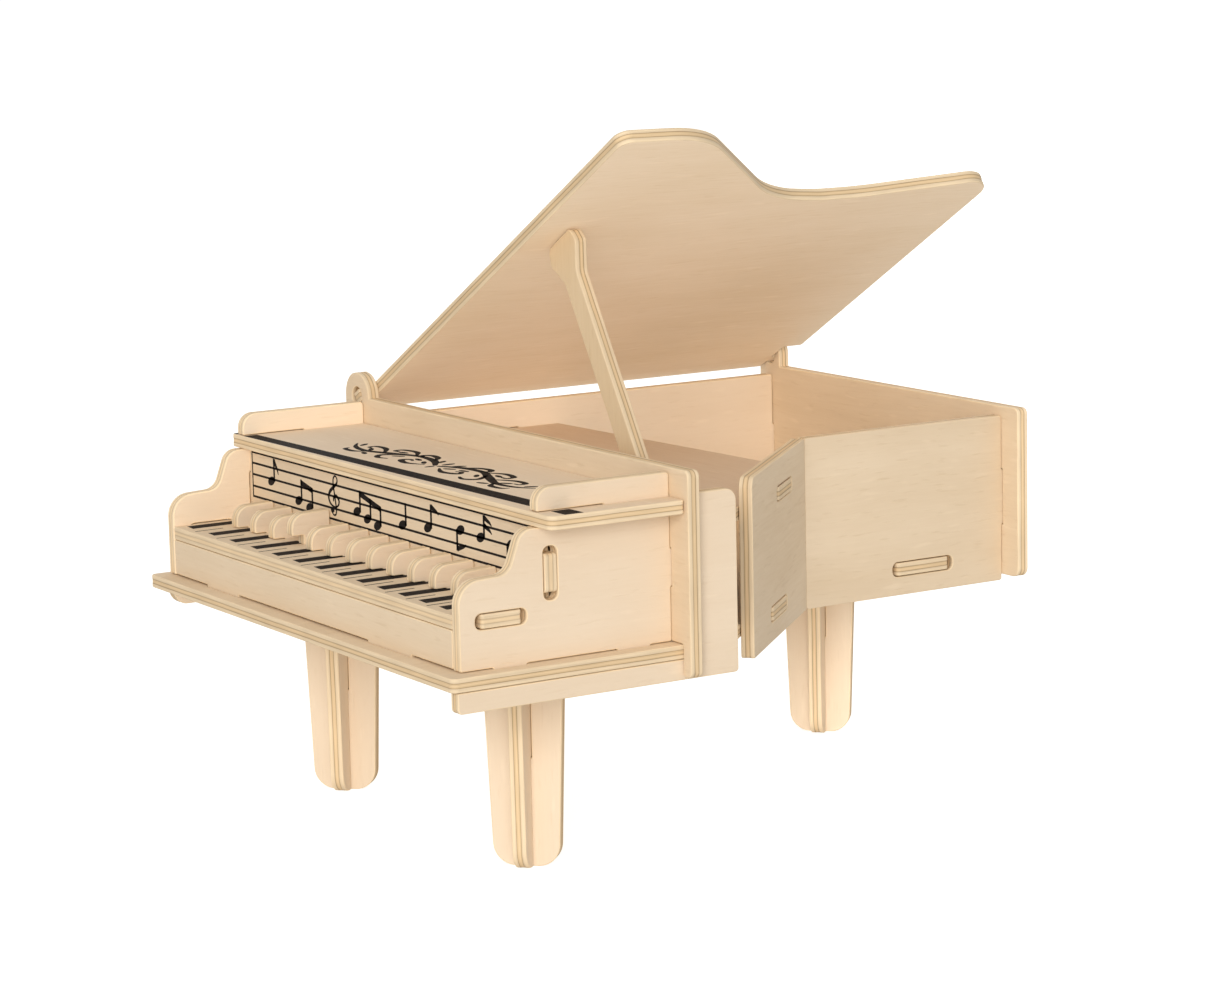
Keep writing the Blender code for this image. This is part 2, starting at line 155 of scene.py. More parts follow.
def refined(loop):
    """Arcs resampled finely, and a small round on every true corner."""
    pts = [p for i, p in enumerate(loop)
           if abs(turn_at(loop[i - 1], p, loop[(i + 1) % len(loop)])) > STRAIGHT_TURN]
    n = len(pts)
    turns = [turn_at(pts[i - 1], pts[i], pts[(i + 1) % n]) for i in range(n)]
    lens = [(pts[(i + 1) % n] - pts[i]).length for i in range(n)]
    dirs = [(pts[(i + 1) % n] - pts[i]).normalized() for i in range(n)]
    tangents = []
    for i in range(n):
        if abs(turns[i]) > CORNER_TURN:
            tangents.append(None)
        elif lens[i] > LONGER * lens[i - 1]:
            tangents.append(dirs[i])
        elif lens[i - 1] > LONGER * lens[i]:
            tangents.append(dirs[i - 1])
        else:
            tangents.append((dirs[i] + dirs[i - 1]).normalized())
    out = []
    for i in range(n):
        j = (i + 1) % n
        a, b = pts[i], pts[j]
        if tangents[i] is None:
            room = min(lens[i], lens[i - 1])
            r = FILLET if room > ROOMY else room * 0.3
            half = math.radians(abs(turns[i])) / 2
            reach = min(r * math.tan(half), room * 0.42)
            p0, p2 = a - dirs[i - 1] * reach, a + dirs[i] * reach
            for t in (0.0, 0.5, 1.0):
                out.append(p0 * (1 - t) ** 2 + a * 2 * t * (1 - t) + p2 * t * t)
        else:
            out.append(a.copy())
        ta = tangents[i] or dirs[i]
        tb = tangents[j] or dirs[i]
        bend = abs(math.degrees(ta.angle(tb, 0.0)))
        if bend < 1.0 and abs(math.degrees(ta.angle(dirs[i], 0.0))) < 1.0:
            continue
        steps = min(6, max(2, math.ceil(bend / ARC_STEP)))
        if lens[i] < SHORT:
            steps = 2 if lens[i] > TINY else 1
        for k in range(1, steps):
            t = k / steps
            h = (2 * t ** 3 - 3 * t * t + 1, t ** 3 - 2 * t * t + t,
                 3 * t * t - 2 * t ** 3, t ** 3 - t * t)
            out.append(a * h[0] + ta * lens[i] * h[1] + b * h[2] + tb * lens[i] * h[3])
    kept = []
    for p in out:
        if not kept or (p - kept[-1]).length > NEAREST:
            kept.append(p)
    if (kept[0] - kept[-1]).length < NEAREST:
        kept.pop()
    return kept


def inward(loop):
    """Mitred directions into the material at every point of a loop."""
    n, out = len(loop), []
    for i in range(n):
        p = (loop[i] - loop[i - 1]).normalized()
        q = (loop[(i + 1) % n] - loop[i]).normalized()
        a, b = Vector((-p.y, p.x)), Vector((-q.y, q.x))
        out.append((a + b) / max(0.35, 1 + a.dot(b)))
    return out


def profile(half):
    """(inset, height) of the rings down a sheet's edge, in mm: a round arris and the plies."""
    arris = ((1.0, 0.0), (0.62, 0.08), (0.29, 0.29), (0.08, 0.62), (0.0, 1.0))
    top = [(BEVEL * inset, half - BEVEL * drop) for inset, drop in arris]
    top += [(0.0, RECESS_LIP), (RECESS, RECESS_FLOOR)]
    return top + [(d, -z) for d, z in reversed(top)]


def soft_sheet(name, loops, half, closed):
    """A closed sheet mesh, in metres: face polygons use material 0, edges material 1.

    Where closed(point) holds, the edge stays crisp and is pressed against its neighbour.
    """
    rings = profile(half)
    verts, faces, index = [], [], []
    starts, ins = [], [inward(loop) for loop in loops]
    for loop, inside in zip(loops, ins):
        starts.append(len(verts))
        pressed = [closed(p) for p in loop]
        for d, z in rings:
            inset = [d * PRESSED_BEVEL - PRESS if held else d for held in pressed]
            verts += [Vector((*(p + m * k), z)) * MM for p, m, k in zip(loop, inside, inset)]
        n, base = len(loop), starts[-1]
        for r in range(len(rings) - 1):
            for i in range(n):
                j = (i + 1) % n
                a, b = base + r * n, base + (r + 1) * n
                faces.append((a + j, a + i, b + i, b + j))
                index.append(1)
    for ring, flip in ((0, False), (len(rings) - 1, True)):
        polys, ids = [], []
        for loop, start in zip(loops, starts):
            n = len(loop)
            at = [start + ring * n + i for i in range(n)]
            polys.append([verts[i] * 1000 for i in at])      # back in mm, for the tessellator
            ids += at
        for tri in geometry.tessellate_polygon(polys):
            t = [ids[k] for k in tri]
            a, b, c = (verts[k] for k in t)
            up = (b - a).cross(c - a).z > 0
            faces.append(tuple(t) if up != flip else tuple(reversed(t)))
            index.append(0)
    mesh = bpy.data.meshes.new(name)
    mesh.from_pydata([tuple(v) for v in verts], [], faces)
    mesh.polygons.foreach_set("material_index", index)
    mesh.polygons.foreach_set("use_smooth", [True] * len(faces))
    mesh.set_sharp_from_angle(angle=math.radians(SMOOTH))
    mesh.validate()
    return mesh


def at_bent_corner(node, place):
    """A test for outline points where the slanted and the rear treble panels meet."""
    low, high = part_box("rear_side_panel")
    corner = Vector((high.x, low.y))
    reach = 0.8 * PLY * MM

    def closed(p):
        here = place @ (Vector((p.x, p.y, 0)) * MM)
        return node in ("bent_side_panel", "rear_side_panel") and (here.xy - corner).length < reach
    return closed


def weight_normals(obj):
    """Large faces keep their flat shading, and only the bevels bend it."""
    mod = obj.modifiers.new("face_weighted", "WEIGHTED_NORMAL")
    mod.mode = "FACE_AREA"
    mod.weight = 100
    mod.keep_sharp = True


# --------------------------------------------------------------------- materials
class Tree:
    """Small helper for building a node tree in order."""

    def __init__(self, name):
        self.mat = bpy.data.materials.new(name)
        self.mat.use_nodes = True
        self.nodes = self.mat.node_tree.nodes
        self.links = self.mat.node_tree.links
        self.bsdf = self.nodes["Principled BSDF"]

    def add(self, kind, inputs=None, **props):
        node = self.nodes.new(kind)
        for k, v in props.items():
            setattr(node, k, v)
        for k, v in (inputs or {}).items():
            if isinstance(v, bpy.types.NodeSocket):
                self.links.new(v, node.inputs[k])
            else:
                node.inputs[k].default_value = v
        return node

    def noise(self, vector, scale, stretch, seed, detail=3.0, roughness=0.55):
        moved = self.add("ShaderNodeMapping", {"Vector": vector, "Scale": stretch,
                                               "Location": (seed, seed * 1.7, seed * 0.6)})
        return self.add("ShaderNodeTexNoise", {"Vector": moved.outputs[0], "Scale": scale,
                                               "Detail": detail, "Roughness": roughness}).outputs[0]

    def math(self, op, a, b=0.0, c=0.0, clamp=False):
        node = self.nodes.new("ShaderNodeMath")
        node.operation, node.use_clamp = op, clamp
        for socket, v in zip(node.inputs, (a, b, c)):
            if isinstance(v, bpy.types.NodeSocket):
                self.links.new(v, socket)
            else:
                socket.default_value = v
        return node.outputs[0]

    def ramp(self, value, stops):
        node = self.add("ShaderNodeValToRGB", {0: value})
        ramp = node.color_ramp
        while len(ramp.elements) < len(stops):
            ramp.elements.new(0.5)
        for e, (pos, colour) in zip(ramp.elements, stops):
            e.position = pos
            e.color = (*colour, 1.0) if len(colour) == 3 else colour
        return node.outputs[0]

    def mix(self, fac, a, b, blend="MIX"):
        node = self.nodes.new("ShaderNodeMix")
        node.data_type, node.blend_type = "RGBA", blend
        for k, v in ((0, fac), (6, a), (7, b)):
            if isinstance(v, bpy.types.NodeSocket):
                self.links.new(v, node.inputs[k])
            else:
                node.inputs[k].default_value = v if k == 0 else (*v[:3], 1.0)
        return node.outputs[2]

    def finish(self, colour, roughness, height, distance, strength):
        self.links.new(colour, self.bsdf.inputs["Base Color"])
        self.links.new(roughness, self.bsdf.inputs["Roughness"])
        bump = self.add("ShaderNodeBump", {"Height": height, "Distance": distance,
                                           "Strength": strength})
        self.links.new(bump.outputs[0], self.bsdf.inputs["Normal"])
        self.bsdf.inputs["Specular IOR Level"].default_value = 0.32
        self.bsdf.inputs["IOR"].default_value = 1.45
        return self.mat


def scaled(colour, k):
    """The colour, k times as bright."""
    return tuple(c * k for c in colour)


def blend_colour(a, b, k):
    """The colour a share k of the way from a to b."""
    return tuple(x + (y - x) * k for x, y in zip(a, b))


FACE_TONES = {           # light and dark veneer
    "pale": ((0.890, 0.735, 0.560), (0.800, 0.630, 0.450)),
    "mid": ((0.850, 0.690, 0.500), (0.745, 0.580, 0.395)),
    "tan": ((0.775, 0.600, 0.440), (0.685, 0.510, 0.355)),
    "lid": ((0.885, 0.735, 0.565), (0.795, 0.635, 0.450)),
    "honey": ((0.800, 0.625, 0.410), (0.715, 0.535, 0.325)),
}
EDGE_CREAM, EDGE_CORE, EDGE_GLUE = (0.82, 0.648, 0.435), (0.70, 0.515, 0.305), (0.34, 0.205, 0.10)
# how bright the edges are beside each tone
EDGE_LEVEL = {"pale": 1.06, "mid": 1.0, "tan": 0.95, "lid": 0.80, "honey": 0.95}


def face_material(name, tone, seed, grain):
    """Rotary-cut veneer: cloudy tone, soft bands, fine fibres and short dark pores."""
    t = Tree(name)
    light, dark = FACE_TONES[tone]
    at = t.add("ShaderNodeTexCoord").outputs["Object"]
    cloud = t.noise(at, 34.0, (0.6, 1.0, 1.0), seed, 2.0)
    warp = t.noise(at, 22.0, (1.0, 1.0, 1.0), seed + 3, 1.0)
    bent = t.add("ShaderNodeVectorMath", {0: warp, 1: (0.0, 0.004, 0.0), 2: at},
                 operation="MULTIPLY_ADD").outputs[0]
    band = t.noise(bent, 20.0, (0.35, 7.0, 1.0), seed + 7, 4.0, 0.6)
    fibre = t.noise(bent, 160.0, (0.6, 9.0, 1.0), seed + 11, 3.0, 0.6)
    pores = t.noise(bent, 420.0, (0.42, 3.2, 1.0), seed + 17, 1.0, 0.4)
    pore = t.add("ShaderNodeMapRange", {0: pores, 1: 0.63, 2: 0.74, 3: 0.0, 4: 1.0}).outputs[0]
    fac = t.math("MULTIPLY_ADD", cloud, 1.25, -0.125)
    for value, amount in ((band, 0.85 * grain), (fibre, 0.55 * grain)):
        fac = t.math("MULTIPLY_ADD", value, amount, t.math("SUBTRACT", fac, amount / 2))
    fac = t.math("MULTIPLY_ADD", pore, 0.36 * grain, fac, clamp=True)
    colour = t.mix(fac, light, dark)
    fleck = t.noise(at, 240.0, (0.5, 2.4, 1.0), seed + 23, 1.0, 0.4)
    shine = t.add("ShaderNodeMapRange", {0: fleck, 1: 0.66, 2: 0.78, 3: 0.0, 4: 0.35}).outputs[0]
    colour = t.mix(shine, colour, scaled(light, 1.06))
    rough = t.add("ShaderNodeMapRange", {0: fibre, 1: 0.3, 2: 0.7, 3: 0.52, 4: 0.68}).outputs[0]
    height = t.math("MULTIPLY_ADD", pore, -0.8, fibre)
    return t.finish(colour, rough, height, 0.00006, 0.55)


def edge_material(name, tone, seed, worn):
    """Ply edges: three layers, thin glue lines and streaks that run round the sheet."""
    t = Tree(name)
    k = EDGE_LEVEL[tone]
    at = t.add("ShaderNodeTexCoord").outputs["Object"]
    wobble = t.noise(at, 55.0, (1.0, 1.0, 0.2), seed, 2.0)
    z = t.add("ShaderNodeSeparateXYZ", {0: at}).outputs[2]
    depth = t.math("MULTIPLY_ADD", z, 1 / (PLY * MM), 0.5)
    depth = t.math("MULTIPLY_ADD", wobble, 0.07, t.math("SUBTRACT", depth, 0.035), clamp=True)
    cream = scaled(EDGE_CREAM, k)
    core, glue = (blend_colour(scaled(c, k), cream, worn) for c in (EDGE_CORE, EDGE_GLUE))
    layers = t.ramp(depth, [
        (0.0, scaled(cream, 1.04)), (0.20, cream), (0.300, scaled(cream, 0.90)), (0.335, glue),
        (0.372, core), (0.5, scaled(core, 1.16)), (0.628, core), (0.665, glue),
        (0.700, scaled(cream, 0.90)), (0.80, cream), (1.0, scaled(cream, 1.04))])
    streak = t.noise(at, 300.0, (0.30, 0.30, 14.0), seed + 5, 3.0, 0.6)
    patch = t.noise(at, 90.0, (1.0, 1.0, 2.0), seed + 9, 2.0)
    shade = t.math("MULTIPLY_ADD", streak, 0.46, 0.77)
    shade = t.math("MULTIPLY", shade, t.math("MULTIPLY_ADD", patch, 0.22, 0.89))
    grey = t.add("ShaderNodeCombineXYZ", {0: shade, 1: shade, 2: shade}).outputs[0]
    colour = t.mix(1.0, layers, grey, "MULTIPLY")
    rough = t.add("ShaderNodeMapRange", {0: streak, 1: 0.3, 2: 0.7, 3: 0.60, 4: 0.78}).outputs[0]
    return t.finish(colour, rough, streak, 0.00010, 0.6)


def ink_material():
    """Dark screen-printed ink, slightly uneven where the grain shows through."""
    t = Tree("printed_ink")
    at = t.add("ShaderNodeTexCoord").outputs["Object"]
    blot = t.noise(at, 900.0, (1.0, 1.0, 1.0), 2.0, 3.0)
    grain = t.noise(at, 500.0, (0.3, 3.0, 3.0), 5.0, 2.0)
    fac = t.math("MULTIPLY", blot, grain)
    fac = t.add("ShaderNodeMapRange", {0: fac, 1: 0.22, 2: 0.42, 3: 0.0, 4: 1.0}).outputs[0]
    colour = t.mix(fac, (0.010, 0.008, 0.008), (0.030, 0.022, 0.019))
    rough = t.add("ShaderNodeMapRange", {0: blot, 1: 0.3, 2: 0.7, 3: 0.60, 4: 0.80}).outputs[0]
    mat = t.finish(colour, rough, grain, 0.00003, 0.3)
    t.bsdf.inputs["Specular IOR Level"].default_value = 0.12
    return mat


# ------------------------------------------------------------------- ply sheets
TONES = {"lid": "lid", "soundboard": "tan", "tail_panel": "mid", "bent_side_panel": "mid",
         "key_slip": "mid", "music_panel": "mid", "rear_side_panel": "mid",
         "lid_prop": "honey", "base_plate": "mid", "front_bulkhead": "mid", "key_plate": "mid"}
PLAIN_EDGED = ("black_key", "left_cheek", "right_cheek", "music_panel", "key_plate")
PLAIN_WORN = 0.45        # how far their glue lines fade into the cream


def rebuild_sheet(node, seed):
    """The finished sheet that stands for a CAD node, with its own two materials."""
    along = Vector((0, 1, 0)) if node == "lid" else None
    origin, u, v, normal, half = sheet_axes(node, along)
    loops = [refined(loop) for loop in outline_loops(node, origin, u, v, normal, half)]
    place = Matrix((u, v, normal)).transposed().to_4x4()
    place.translation = origin
    mesh = soft_sheet(node + "_ply", loops, half / MM, at_bent_corner(node, place))
    obj = bpy.data.objects.new(node + "_ply", mesh)
    bpy.context.scene.collection.objects.link(obj)
    obj.matrix_world = place
    weight_normals(obj)
    tone = TONES.get(node, "pale")
    worn = PLAIN_WORN if node.startswith(PLAIN_EDGED) else 0.0
    grain = 1.0 if tone in ("mid", "lid", "honey") else 0.6
    mesh.materials.append(face_material(node + "_veneer", tone, seed, grain))
    mesh.materials.append(edge_material(node + "_edge", tone, seed + 0.5, worn))
    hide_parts(node)
    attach(obj, BODY_OF[node])


for number, node_name in enumerate(sorted(NODES)):
    rebuild_sheet(node_name, 3.1 * number + 1.0)


# ------------------------------------------------------------------ printed ink
INK_THICK = 0.035        # mm
INK_ABOVE = 0.6          # the share of it that stands above the face
PEN_STEPS = 7            # pieces of a curved stroke between two of its points


def stroke(points, widths):
    """Both sides of a smooth pen stroke, with one width for all its points or one for each."""
    pts = [Vector(p) for p in points]
    if not hasattr(widths, "__len__"):
        widths = [widths] * len(pts)
    line, wide = [], []
    for i in range(len(pts) - 1):
        p0, p1 = pts[max(i - 1, 0)], pts[i]
        p2, p3 = pts[i + 1], pts[min(i + 2, len(pts) - 1)]
        steps = 1 if len(pts) == 2 else PEN_STEPS
        for k in range(steps):
            t = k / steps
            line.append(0.5 * (2 * p1 + (p2 - p0) * t + (2 * p0 - 5 * p1 + 4 * p2 - p3) * t * t
                               + (3 * p1 - p0 - 3 * p2 + p3) * t ** 3))
            wide.append(widths[i] * (1 - t) + widths[i + 1] * t)
    line.append(pts[-1])
    wide.append(widths[-1])
    left, right = [], []
    for i, (p, w) in enumerate(zip(line, wide)):
        d = (line[min(i + 1, len(line) - 1)] - line[max(i - 1, 0)]).normalized()
        n = Vector((-d.y, d.x)) * w / 2
        left.append(p + n)
        right.append(p - n)
    return left, right


class Ink:
    """Thin solids printed on a flat face; x and y are plate millimetres in its plane."""

    def __init__(self, name, origin, u, v):
        self.name, self.verts, self.faces = name, [], []
        self.origin, self.u, self.v = origin, Vector(u), Vector(v)
        self.n = self.u.cross(self.v)

    def strip(self, left, right):
        """A band between two matching lines of points."""
        base, n = len(self.verts), len(left)
        for z in (INK_THICK * INK_ABOVE, INK_THICK * (INK_ABOVE - 1)):
            self.verts += [(*p, z) for p in left] + [(*p, z) for p in right]
        top, low = base, base + 2 * n
        for i in range(n - 1):
            a, b, c, d = i, i + 1, n + i + 1, n + i
            self.faces.append((top + a, top + d, top + c, top + b))
            self.faces.append((low + a, low + b, low + c, low + d))
            self.faces.append((top + b, low + b, low + a, top + a))
            self.faces.append((top + d, low + d, low + c, top + c))
        self.faces.append((top, low, low + n, top + n))
        self.faces.append((top + 2 * n - 1, low + 2 * n - 1, low + n - 1, top + n - 1))

    def pen(self, points, widths):
        self.strip(*stroke(points, widths))

    def disc(self, x, y, rx, ry, tilt, count=28):
        """An ellipse, cut a hair short at both ends so that no face has zero width."""
        c, s = math.cos(math.radians(tilt)), math.sin(math.radians(tilt))
        left, right = [], []
        for i in range(count // 2 + 1):
            a = math.pi * (0.02 + 0.96 * i / (count // 2))
            for side, sign in ((left, 1), (right, -1)):
                px, py = -rx * math.cos(a), ry * math.sin(a) * sign
                side.append(Vector((x + px * c - py * s, y + px * s + py * c)))
        self.strip(left, right)

    def make(self, material):
        mesh = bpy.data.meshes.new(self.name)
        mesh.from_pydata([tuple(Vector(p) * MM) for p in self.verts], [], self.faces)
        mesh.validate()
        mesh.materials.append(material)
        obj = bpy.data.objects.new(self.name, mesh)
        bpy.context.scene.collection.objects.link(obj)
        place = Matrix((self.u, self.v, self.n)).transposed().to_4x4()
        place.translation = self.origin
        obj.matrix_world = place
        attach(obj, "case")


INK = ink_material()


def plate_point(x, y, z):
    return ZERO + Vector((x, y, z)) * MM


# keys printed on the key plate: long bars, with a short line about midway between each two
KEY_BARS = 13
FIRST_BAR, BAR_PITCH = 9.0, 11.45        # mm
PITCH_LOSS = 0.23                        # mm, by which each pitch is shorter than the last
key_top = (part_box("key_plate")[1].z - ZERO.z) / MM
keys = Ink("printed_keys", plate_point(0, 0, key_top), (1, 0, 0), (0, 1, 0))
for k in range(KEY_BARS):
    x = FIRST_BAR + BAR_PITCH * k - PITCH_LOSS / 2 * k * k
    keys.strip([Vector((x - 1.9, 6.8)), Vector((x - 1.9, 18.6))],
               [Vector((x + 2.0, 6.5)), Vector((x + 2.0, 18.4))])
    if k < KEY_BARS - 1:
        mid = x + (BAR_PITCH - PITCH_LOSS * k) / 2
        keys.strip([Vector((mid - 0.2, 5.3)), Vector((mid - 0.35, 12.4))],
                   [Vector((mid + 0.2, 5.3)), Vector((mid + 0.05, 12.4))])
keys.make(INK)

# music printed on the music panel, seen from the front: x to the right and z up
MUSIC_Y = 24.6           # the panel's front face
STAFF = (27.5, 24.9, 22.2, 19.4, 16.9)
STAFF_LEFT, STAFF_RIGHT = 6.6, 137.0
LINE, BAR_LINE, STEM, BEAM = 0.52, 0.5, 0.80, 1.3        # widths
HEAD = (1.80, 1.02)      # a note head's half length and half width
HEAD_TILT = 18           # degrees
STEM_AT = 1.55           # from the middle of the head
music = Ink("printed_music", plate_point(0, MUSIC_Y, 0), (1, 0, 0), (0, 0, 1))
for z in STAFF:
    music.pen([(STAFF_LEFT, z), (STAFF_RIGHT, z)], LINE)
music.pen([(STAFF_LEFT, STAFF[0] + LINE / 2), (STAFF_LEFT, STAFF[-1] - LINE / 2)], BAR_LINE)


def flag(x, z, reach, drop):
    music.pen([(x, z), (x + reach * 0.35, z - drop * 0.30), (x + reach * 0.75, z - drop * 0.62),
               (x + reach, z - drop)], [1.2, 1.0, 0.7, 0.2])


def note(x, z, tip, flags=(), stem_side=1):
    """A note with its stem, which ends at the height of tip.  Returns the stem's x."""
    music.disc(x, z, *HEAD, HEAD_TILT)
    sx = x + stem_side * STEM_AT
    music.pen([(sx, z), (sx, tip)], STEM)
    up = 1 if tip > z else -1
    for i, (reach, drop) in enumerate(flags):
        flag(sx, tip - up * (0.4 + 1.7 * i), reach, up * drop)
    return sx


def beam(first, second):
    (x0, z0), (x1, z1) = first, second
    music.strip([Vector((x0 - STEM / 2, z0)), Vector((x1 + STEM / 2, z1))],
                [Vector((x0 - STEM / 2, z0 - BEAM)), Vector((x1 + STEM / 2, z1 - BEAM))])


note(16.4, 21.7, 27.2, [(2.2, 3.2)])
first_stem = note(30.2, 18.9, 24.0)
last_stem = note(35.6, 18.0, 22.7)
beam((first_stem, 24.0), (last_stem, 22.7))
first_stem = note(59.0, 20.2, 25.2)
note(63.9, 19.2, 24.0)
last_stem = note(68.6, 18.3, 22.8)
beam((first_stem, 25.2), (last_stem, 22.8))
note(80.3, 20.1, 25.2)
note(91.8, 21.1, 26.4, [(3.4, 1.5)])
note(106.2, 22.6, 17.9, [(3.9, 1.4)], -1)
note(114.8, 22.2, 27.2, [(3.3, 1.6), (3.3, 1.6)])
note(127.6, 22.5, 19.6, (), -1)

# treble clef: one long pen line, as (x, z, width), from the inner curl round to the foot
CLEF = (48.4, 22.1)
CLEF_LINE = [(-0.7, -1.1, 0.4), (-0.5, -0.1, 0.7), (0.8, 0.3, 0.8), (2.0, -0.6, 0.7),
             (1.5, -1.8, 0.5), (-0.2, -2.3, 0.45), (-2.2, -1.7, 0.6), (-3.0, -0.3, 0.8),
             (-2.2, 1.1, 0.9), (-0.4, 2.3, 0.8), (1.1, 3.3, 0.6), (1.3, 4.3, 0.5),
             (0.4, 4.9, 0.4), (-0.5, 4.2, 0.5), (-0.6, 2.8, 0.6), (-0.2, 1.0, 0.6),
             (0.3, -1.2, 0.6), (0.6, -2.8, 0.6), (0.3, -3.9, 0.5), (-0.7, -4.2, 0.4),
             (-1.6, -3.6, 0.4)]
music.pen([(CLEF[0] + x, CLEF[1] + z) for x, z, _ in CLEF_LINE], [w for _, _, w in CLEF_LINE])
music.disc(CLEF[0] - 1.3, CLEF[1] - 3.2, 0.9, 0.55, 0.0)     # the dot at its foot
music.make(INK)

# the dark band along the shelf's front edge and a plain scrolled ornament behind it
shelf_lo, shelf_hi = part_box("top_shelf")
shelf = Ink("printed_shelf", Vector((ZERO.x, ZERO.y, shelf_hi.z)), (1, 0, 0), (0, 1, 0))
edge_y = (shelf_lo.y - ZERO.y) / MM
shelf_left, shelf_right = ((p.x - ZERO.x) / MM for p in (shelf_lo, shelf_hi))
cheek_faces = [(p.x - ZERO.x) / MM for n in ("left_cheek", "right_cheek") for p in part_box(n)]
BAND_GAP, BAND_DRIFT = 0.3, 0.023        # from the edge, and how that grows with x
BAND_WIDTH, BAND_FLARE = 3.3, 0.008
spans = [(shelf_left + 0.9, cheek_faces[0] - 0.4), (cheek_faces[1] + 0.4, cheek_faces[2] - 0.4),
         (cheek_faces[3] + 0.4, shelf_right - 0.35)]


def band_point(x, back):
    """A point on the band's front line, where back is 0, or on its rear line, where it is 1."""
    return Vector((x, edge_y + BAND_GAP + BAND_DRIFT * x + back * (BAND_WIDTH + BAND_FLARE * x)))


for x0, x1 in spans:
    shelf.strip([band_point(x1, 0), band_point(x0, 0)], [band_point(x1, 1), band_point(x0, 1)])


SCROLL_AT = (74.1, 37.4)
STRETCH, PEN_WIDTH = 1.1, 1.85           # scales of the ornament's x and of its line widths


def scroll(cx, cy, flip):
    """One half of the ornament: a long curl with smaller curls and leaves on it."""
    def line(points, widths):
        shelf.pen([(cx + flip * (x * STRETCH), cy + y) for x, y in points],
                  [w * PEN_WIDTH for w in widths])

    line([(0.5, -0.5), (6, 2.6), (13, 3.2), (20, 0.4), (27, -2.2), (33, -1.4), (37.5, 1.6)],
         [0.5, 1.1, 0.9, 1.2, 0.9, 0.7, 0.15])
    line([(6, 2.6), (8.5, 5.2), (12, 5.9), (13.6, 4.3), (11.8, 3.5)], [0.3, 0.8, 0.9, 0.7, 0.4])
    line([(3, -1.6), (7.5, -3.7), (11.5, -2.4), (10.6, -0.6), (8.9, -1.1)],
         [0.2, 0.8, 0.9, 0.6, 0.3])
    line([(14, 2.9), (18, 5.6), (22.5, 5.0), (23.0, 2.9), (21.1, 2.8)], [0.3, 0.8, 0.8, 0.6, 0.3])
    line([(17, 1.8), (20, -2.4), (17.8, -4.8), (14.9, -3.9)], [0.3, 0.9, 0.7, 0.3])
    line([(22, -0.6), (26.5, 2.6), (30.6, 2.7), (31.0, 0.9), (29.4, 0.6)],
         [0.3, 0.8, 0.8, 0.5, 0.25])
    line([(26, -2.0), (28.4, -4.6), (32.3, -4.6), (33.3, -3.0)], [0.3, 0.8, 0.7, 0.2])
    for x, y, tilt in ((3.6, 3.1, 60), (16.2, -0.4, -35), (24.6, -4.2, 20), (34.6, 1.6, 55),
                       (9.4, 0.7, 10), (19.6, 3.0, -10), (28.0, -0.4, 30), (5.3, -0.4, 30)):
        shelf.disc(cx + flip * x * STRETCH, cy + y, 1.7, 0.65, tilt * flip, 14)


for side in (1, -1):
    scroll(*SCROLL_AT, side)
shelf.disc(SCROLL_AT[0], SCROLL_AT[1] + 2.6, 0.75, 1.7, 0, 16)
shelf.disc(SCROLL_AT[0], SCROLL_AT[1] - 2.2, 0.6, 1.3, 0, 16)
shelf.make(INK)


# --------------------------------------------------------------- floor and lights
FLOOR_REACH = 6.0                        # metres each way
FLOOR_GLOW, FLOOR_SEEN = 0.20, 0.62      # how much it shines, and how much more the camera sees
WORLD_LIT, WORLD_SEEN = 0.60, 1.05       # the world as a light, and as the camera sees it


def stage_floor():
    """A plain floor that the camera sees whiter than it lights."""
    mesh = bpy.data.meshes.new("studio_floor")
    s = FLOOR_REACH
    mesh.from_pydata([(-s, -s, 0), (s, -s, 0), (s, s, 0), (-s, s, 0)], [], [(0, 1, 2, 3)])
    floor = bpy.data.objects.new("studio_floor", mesh)
    bpy.context.scene.collection.objects.link(floor)
    mat = bpy.data.materials.new("studio_floor")
    mat.use_nodes = True
    nodes, links = mat.node_tree.nodes, mat.node_tree.links
    bsdf = nodes["Principled BSDF"]
    bsdf.inputs["Base Color"].default_value = (0.55, 0.545, 0.53, 1)
    bsdf.inputs["Roughness"].default_value = 0.95
    bsdf.inputs["Specular IOR Level"].default_value = 0.1
    glow, path = nodes.new("ShaderNodeEmission"), nodes.new("ShaderNodeLightPath")
    glow.inputs[0].default_value = (1.0, 0.998, 0.985, 1)
    level = nodes.new("ShaderNodeMath")
    level.operation = "MULTIPLY_ADD"
    level.inputs[1].default_value, level.inputs[2].default_value = FLOOR_SEEN, FLOOR_GLOW
    links.new(path.outputs["Is Camera Ray"], level.inputs[0])
    links.new(level.outputs[0], glow.inputs[1])
    both = nodes.new("ShaderNodeAddShader")
    links.new(bsdf.outputs[0], both.inputs[0])
    links.new(glow.outputs[0], both.inputs[1])
    links.new(both.outputs[0], nodes["Material Output"].inputs[0])
    mesh.materials.append(mat)


def studio_world():
    """A plain surround that the camera sees whiter than it lights."""
    world = bpy.data.worlds.new("studio_world")
    bpy.context.scene.world = world
    world.use_nodes = True
    nodes, links = world.node_tree.nodes, world.node_tree.links
    nodes.clear()
    seen, lit = nodes.new("ShaderNodeBackground"), nodes.new("ShaderNodeBackground")
    seen.inputs[0].default_value = (1.0, 1.0, 0.985, 1)
    seen.inputs[1].default_value = WORLD_SEEN
    lit.inputs[0].default_value = (1.0, 0.985, 0.965, 1)
    lit.inputs[1].default_value = WORLD_LIT
    path, mix = nodes.new("ShaderNodeLightPath"), nodes.new("ShaderNodeMixShader")
    out = nodes.new("ShaderNodeOutputWorld")
    links.new(path.outputs["Is Camera Ray"], mix.inputs[0])
    links.new(lit.outputs[0], mix.inputs[1])
    links.new(seen.outputs[0], mix.inputs[2])
    links.new(mix.outputs[0], out.inputs[0])


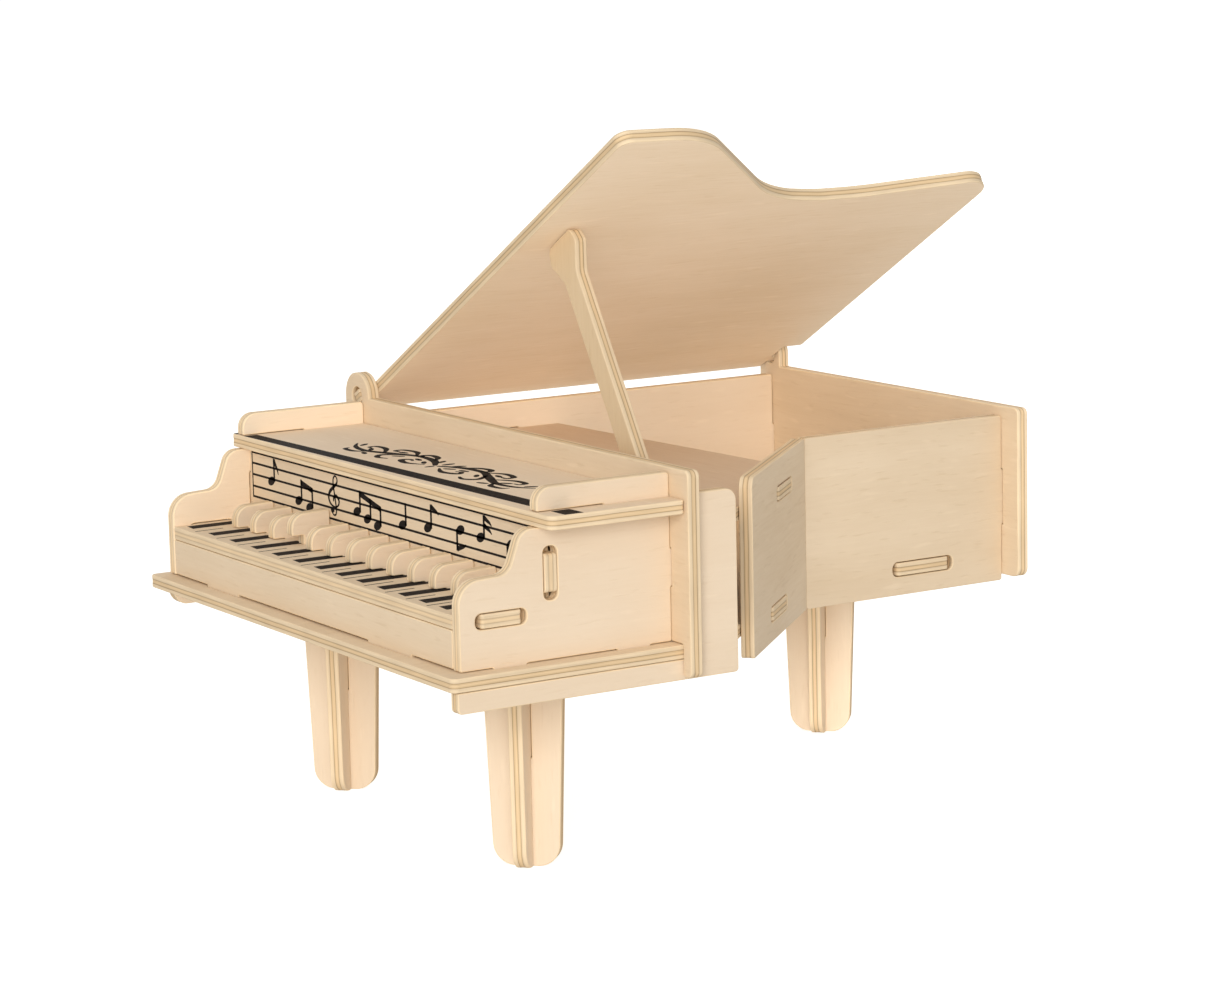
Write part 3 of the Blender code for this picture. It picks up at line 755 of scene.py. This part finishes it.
LIGHT_TARGET = Vector((0, 0, 0.07))      # about the middle of the object
DAYLIGHT, WARM, COOL = (1.0, 0.985, 0.96), (1.0, 0.985, 0.94), (1.0, 0.99, 0.97)


def soft_light(name, direction, distance, size, power, colour=DAYLIGHT):
    """A round area light that looks at the target from a direction."""
    data = bpy.data.lights.new(name, "AREA")
    data.shape, data.size, data.energy, data.color = "DISK", size, power, colour
    light = bpy.data.objects.new(name, data)
    bpy.context.scene.collection.objects.link(light)
    light.location = LIGHT_TARGET + Vector(direction).normalized() * distance
    light.rotation_mode = "QUATERNION"
    light.rotation_quaternion = (LIGHT_TARGET - light.location).to_track_quat("-Z", "Y")
    return light


def only_for(light, *nodes):
    """Keeps a fill light, and its shadows, to the pieces that stand for these CAD nodes."""
    group = bpy.data.collections.new(light.name + "_receivers")
    for node in nodes:
        group.objects.link(bpy.data.objects[node + "_ply"])
    light.light_linking.receiver_collection = group
    light.light_linking.blocker_collection = group


stage_floor()
studio_world()
soft_light("key_light", (0.72, -0.61, 0.33), 2.0, 0.9, 16.6)
soft_light("front_fill", (0.80, -0.60, 0.03), 1.8, 0.8, 4.0, COOL)
soft_light("back_fill", (-0.62, 0.70, 0.30), 2.0, 0.9, 7.0)
only_for(soft_light("lid_fill", (0.86, -0.40, -0.06), 1.5, 0.7, 9.4, WARM), "lid")
only_for(soft_light("rear_leg_fill", (0.40, -0.92, 0.02), 1.5, 0.8, 2.8),
         "leg_rear_a", "leg_rear_b")
only_for(soft_light("inner_fill", (0.92, -0.30, 0.30), 1.5, 0.8, 5.0),
         "left_side_panel", "tail_panel", "left_cheek")
only_for(soft_light("leg_fill", (0.86, -0.48, 0.02), 1.5, 0.8, 3.0),
         *(n for n in NODES if n.startswith("leg_")))


# ------------------------------------------------------------------------ camera
CAMERA_AT = Vector((0.69927, -0.438305, 0.208515))       # metres
AZIMUTH, ELEVATION, ROLL = (math.radians(a) for a in (58.277, 9.585, -1.283))
LENS, SENSOR = 106.2, 36.0               # mm


def add_camera():
    data = bpy.data.cameras.new("camera")
    data.lens, data.sensor_width = LENS, SENSOR
    data.clip_start, data.clip_end = 0.01, 50.0
    camera = bpy.data.objects.new("camera", data)
    bpy.context.scene.collection.objects.link(camera)
    back = Vector((math.sin(AZIMUTH) * math.cos(ELEVATION),
                   -math.cos(AZIMUTH) * math.cos(ELEVATION), math.sin(ELEVATION)))
    side = Vector((math.cos(AZIMUTH), math.sin(AZIMUTH), 0))
    up = back.cross(side)
    right = side * math.cos(ROLL) + up * math.sin(ROLL)
    top = up * math.cos(ROLL) - side * math.sin(ROLL)
    place = Matrix((right, top, back)).transposed().to_4x4()
    place.translation = CAMERA_AT
    camera.matrix_world = place
    bpy.context.scene.camera = camera


add_camera()
bpy.context.scene.view_settings.view_transform = "Standard"
